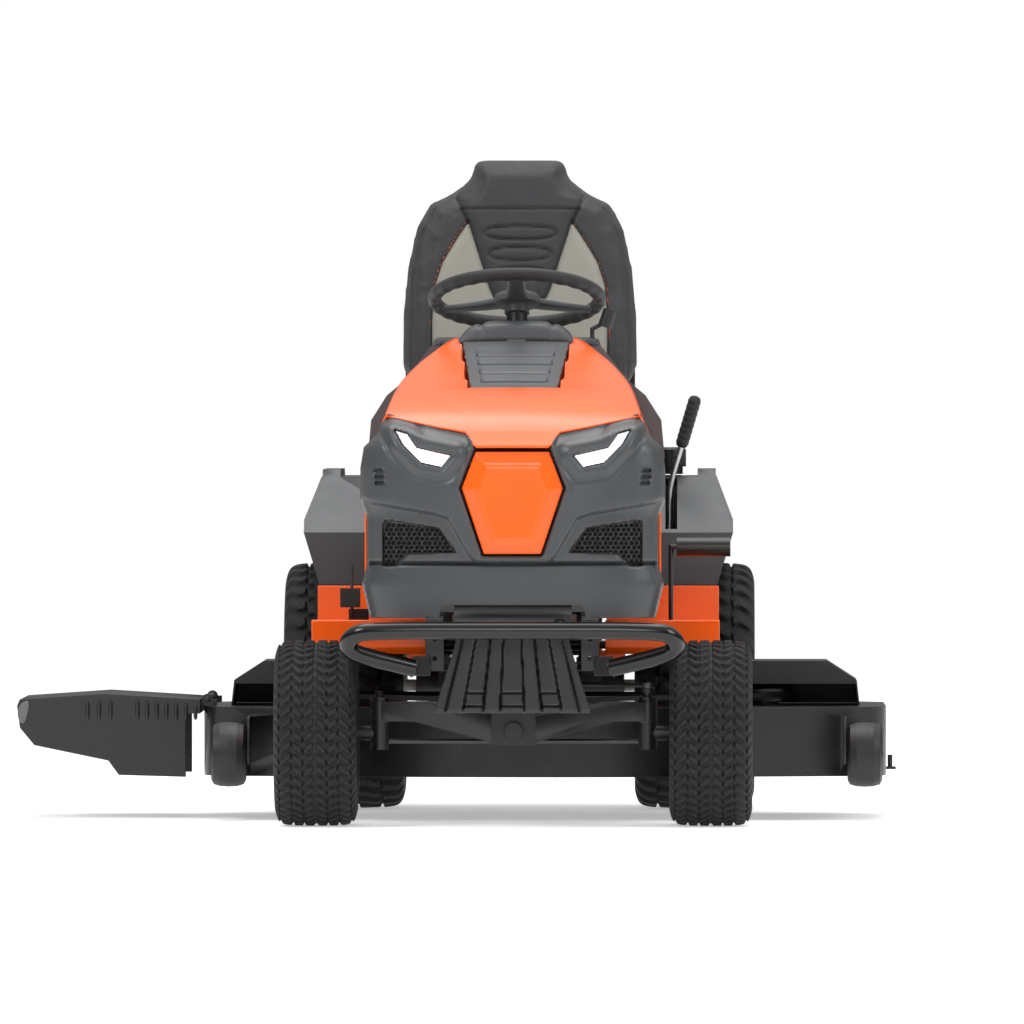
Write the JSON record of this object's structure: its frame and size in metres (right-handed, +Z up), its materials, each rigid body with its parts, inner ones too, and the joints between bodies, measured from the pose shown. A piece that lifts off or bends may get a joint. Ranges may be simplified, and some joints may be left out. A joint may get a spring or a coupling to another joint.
{
  "type": "riding lawn mower",
  "caption": "Garden tractor with tilting hood, sprung seat, wheel-steered front axle and a belt-driven side-discharge cutting deck on a hand lift.",
  "frame": {"origin": "middle of the machine's footprint box, on the ground under the tyres", "axes": "+Z up, -Y forwards and +Y to the rear, +X to the operator's left"},
  "size_m": [1.835, 1.9035, 1.387],
  "materials": {
    "black_steel": "satin black paint",
    "gloss_black": "gloss black paint",
    "orange_panel": "gloss orange",
    "orange_steel": "gloss orange paint",
    "grey_panel": "fine-grained dark grey",
    "black_plastic": "matte black",
    "cast_alloy": "as cast",
    "steel": "zinc plated",
    "tyre_rubber": "matte",
    "rim_paint": "gloss off-white",
    "belt_rubber": "matte",
    "vinyl": "charcoal vinyl",
    "lamp_lens": "clear"
  },
  "bodies": {
    "chassis": {"frame_rails": "black_steel", "frame_crossmembers": "black_steel", "front_bumper": "gloss_black", "front_guard": "black_steel", "engine_block": "cast_alloy", "blower_housing": "black_plastic", "muffler": "steel", "battery": "black_plastic", "fuel_tank": "black_plastic", "transaxle": "cast_alloy", "drawbar": "black_steel", "dash_tower": "grey_panel", "dash_cowl": "grey_panel", "steering_column": "black_steel", "footrests": "orange_steel", "rear_fender": "grey_panel"},
    "front_axle": {"axle_beam": "black_steel"},
    "knuckle_left": {"spindle_left": "black_steel"},
    "knuckle_right": {"spindle_right": "black_steel"},
    "tie_rod": {"tie_rod": "steel"},
    "drag_link": {"drag_link": "steel"},
    "sector": {"sector_gear": "steel"},
    "steering": {"steering_shaft": "steel", "steering_wheel": "black_plastic"},
    "front_wheel_left": {"front_tyre_left": "tyre_rubber", "front_rim_left": "rim_paint"},
    "front_wheel_right": {"front_tyre_right": "tyre_rubber", "front_rim_right": "rim_paint"},
    "rear_wheel_left": {"rear_tyre_left": "tyre_rubber", "rear_rim_left": "rim_paint"},
    "rear_wheel_right": {"rear_tyre_right": "tyre_rubber", "rear_rim_right": "rim_paint"},
    "hood": {"hood_shell": "orange_panel", "grille": "grey_panel", "badge_panel": "orange_panel", "grille_mesh": "black_plastic", "headlamps": "lamp_lens", "hood_vent": "grey_panel"},
    "seat_pan": {"seat_bracket": "black_steel"},
    "seat": {"seat_cushion": "vinyl", "seat_backrest": "vinyl", "seat_shell": "black_plastic"},
    "lift_lever": {"lift_lever": "black_steel"},
    "brake_pedal": {"brake_pedal": "black_steel"},
    "forward_pedal": {"forward_pedal": "black_steel"},
    "reverse_pedal": {"reverse_pedal": "black_steel"},
    "ignition_key": {"ignition_key": "steel"},
    "throttle": {"throttle_lever": "black_plastic"},
    "fuel_cap": {"fuel_cap": "black_plastic"},
    "deck": {"deck_shell": "black_steel", "belt_covers": "black_plastic", "spindle_housings": "cast_alloy", "deck_belt": "belt_rubber"},
    "deflector": {"deck_chute": "black_plastic"},
    "blade_left": {"blade_left": "steel"},
    "blade_centre": {"blade_centre": "steel"},
    "blade_right": {"blade_right": "steel"},
    "roller_left": {"roller_left": "black_plastic"},
    "roller_right": {"roller_right": "black_plastic"},
    "crank": {"crank_pulley": "steel"}
  },
  "joints": [
    {"name": "front_axle_rock", "type": "hinge", "parent": "chassis", "child": "front_axle", "pos_m": [0.1225, -0.60381, 0.1955], "axis": [0, 1, 0], "range_deg": [-5, 5]},
    {"name": "knuckle_left_steer", "type": "hinge", "parent": "front_axle", "child": "knuckle_left", "pos_m": [0.3975, -0.60381, 0.1905], "axis": [0, 0, 1], "range_deg": [-36, 36]},
    {"name": "knuckle_right_steer", "type": "hinge", "parent": "front_axle", "child": "knuckle_right", "pos_m": [-0.1525, -0.60381, 0.1905], "axis": [0, 0, 1], "range_deg": [-36, 36]},
    {"name": "tie_rod_pivot", "type": "hinge", "parent": "knuckle_left", "child": "tie_rod", "pos_m": [0.3975, -0.51881, 0.1705], "axis": [0, 0, 1], "range_deg": [-36, 36]},
    {"name": "drag_link_pivot", "type": "hinge", "parent": "knuckle_left", "child": "drag_link", "pos_m": [0.3975, -0.68881, 0.2895], "axis": [0, 0, 1], "range_deg": [-36, 36]},
    {"name": "sector_turn", "type": "hinge", "parent": "chassis", "child": "sector", "pos_m": [0.1225, -0.30365, 0.3055], "axis": [0, 0, 1], "range_deg": [-36, 36]},
    {"name": "steering_wheel_turn", "type": "hinge", "parent": "chassis", "child": "steering", "pos_m": [0.1225, 0.01619, 1.083], "axis": [0, 0.2924, 0.9563], "range_deg": [-216.5, 216.5]},
    {"name": "front_wheel_left_spin", "type": "hinge", "parent": "knuckle_left", "child": "front_wheel_left", "pos_m": [0.5265, -0.60381, 0.1905], "axis": [1, 0, 0], "continuous": true},
    {"name": "front_wheel_right_spin", "type": "hinge", "parent": "knuckle_right", "child": "front_wheel_right", "pos_m": [-0.2815, -0.60381, 0.1905], "axis": [1, 0, 0], "continuous": true},
    {"name": "rear_wheel_left_spin", "type": "hinge", "parent": "chassis", "child": "rear_wheel_left", "pos_m": [0.4945, 0.64681, 0.262], "axis": [1, 0, 0], "continuous": true},
    {"name": "rear_wheel_right_spin", "type": "hinge", "parent": "chassis", "child": "rear_wheel_right", "pos_m": [-0.2495, 0.64681, 0.262], "axis": [1, 0, 0], "continuous": true},
    {"name": "hood_tilt", "type": "hinge", "parent": "chassis", "child": "hood", "pos_m": [0.1225, -0.80881, 0.425], "axis": [1, 0, 0], "range_deg": [0, 55]},
    {"name": "seat_tilt", "type": "hinge", "parent": "chassis", "child": "seat_pan", "pos_m": [0.1225, 0.16981, 0.748], "axis": [1, 0, 0], "range_deg": [0, 30]},
    {"name": "seat_slide", "type": "slide", "parent": "seat_pan", "child": "seat", "axis": [0, 1, 0], "range_m": [-0.03, 0.08]},
    {"name": "deck_lift", "type": "slide", "parent": "chassis", "child": "deck", "axis": [0, 0, 1], "range_m": [-0.045, 0.01]},
    {"name": "lift_lever_turn", "type": "hinge", "parent": "chassis", "child": "lift_lever", "pos_m": [0.1225, 0.38181, 0.42], "axis": [1, 0, 0], "range_deg": [-4, 17]},
    {"name": "deflector_tilt", "type": "hinge", "parent": "deck", "child": "deflector", "pos_m": [-0.5215, -0.60381, 0.249], "axis": [0, 1, 0], "range_deg": [0, 75]},
    {"name": "crank_spin", "type": "hinge", "parent": "chassis", "child": "crank", "pos_m": [0.1225, -0.48381, 0.3], "axis": [0, 0, 1], "continuous": true},
    {"name": "blade_left_spin", "type": "hinge", "parent": "deck", "child": "blade_left", "pos_m": [0.6389, 0.06221, 0.151], "axis": [0, 0, 1], "continuous": true},
    {"name": "blade_centre_spin", "type": "hinge", "parent": "deck", "child": "blade_centre", "pos_m": [0.1825, -0.06271, 0.151], "axis": [0, 0, 1], "continuous": true},
    {"name": "blade_right_spin", "type": "hinge", "parent": "deck", "child": "blade_right", "pos_m": [-0.2739, 0.06221, 0.151], "axis": [0, 0, 1], "continuous": true},
    {"name": "roller_left_spin", "type": "hinge", "parent": "deck", "child": "roller_left", "pos_m": [0.8465, -0.27731, 0.138], "axis": [1, 0, 0], "continuous": true},
    {"name": "roller_right_spin", "type": "hinge", "parent": "deck", "child": "roller_right", "pos_m": [-0.4715, -0.27731, 0.138], "axis": [1, 0, 0], "continuous": true},
    {"name": "brake_pedal_press", "type": "hinge", "parent": "chassis", "child": "brake_pedal", "pos_m": [0.1225, -0.08381, 0.362], "axis": [1, 0, 0], "range_deg": [0, 22], "stiffness_Nm_per_rad": 12, "springref_deg": -17.19},
    {"name": "forward_pedal_press", "type": "hinge", "parent": "chassis", "child": "forward_pedal", "pos_m": [0.1225, -0.08381, 0.362], "axis": [1, 0, 0], "range_deg": [0, 18], "stiffness_Nm_per_rad": 6, "springref_deg": -11.46},
    {"name": "reverse_pedal_press", "type": "hinge", "parent": "chassis", "child": "reverse_pedal", "pos_m": [0.1225, -0.01381, 0.362], "axis": [1, 0, 0], "range_deg": [0, 18], "stiffness_Nm_per_rad": 6, "springref_deg": -11.46},
    {"name": "ignition_key_turn", "type": "hinge", "parent": "chassis", "child": "ignition_key", "pos_m": [0.0185, 0.04619, 0.94], "axis": [0, 1, 0], "range_deg": [0, 80]},
    {"name": "throttle_swing", "type": "hinge", "parent": "chassis", "child": "throttle", "pos_m": [0.2805, -0.07181, 0.96], "axis": [1, 0, 0], "range_deg": [-18, 18]},
    {"name": "fuel_cap_turn", "type": "hinge", "parent": "chassis", "child": "fuel_cap", "pos_m": [0.4445, 0.47381, 0.729], "axis": [0, 0, 1], "range_deg": [0, 90]}
  ],
  "couplings": [
    {"joint": "knuckle_right_steer", "follows": "knuckle_left_steer", "ratio": 1},
    {"joint": "tie_rod_pivot", "follows": "knuckle_left_steer", "ratio": -1},
    {"joint": "drag_link_pivot", "follows": "knuckle_left_steer", "ratio": -1},
    {"joint": "sector_turn", "follows": "knuckle_left_steer", "ratio": 1},
    {"joint": "steering_wheel_turn", "follows": "knuckle_left_steer", "ratio": 6},
    {"joint": "lift_lever_turn", "follows": "deck_lift", "rad_per_m": -6.25},
    {"joint": "blade_left_spin", "follows": "crank_spin", "ratio": 1},
    {"joint": "blade_centre_spin", "follows": "crank_spin", "ratio": 1},
    {"joint": "blade_right_spin", "follows": "crank_spin", "ratio": 1}
  ]
}
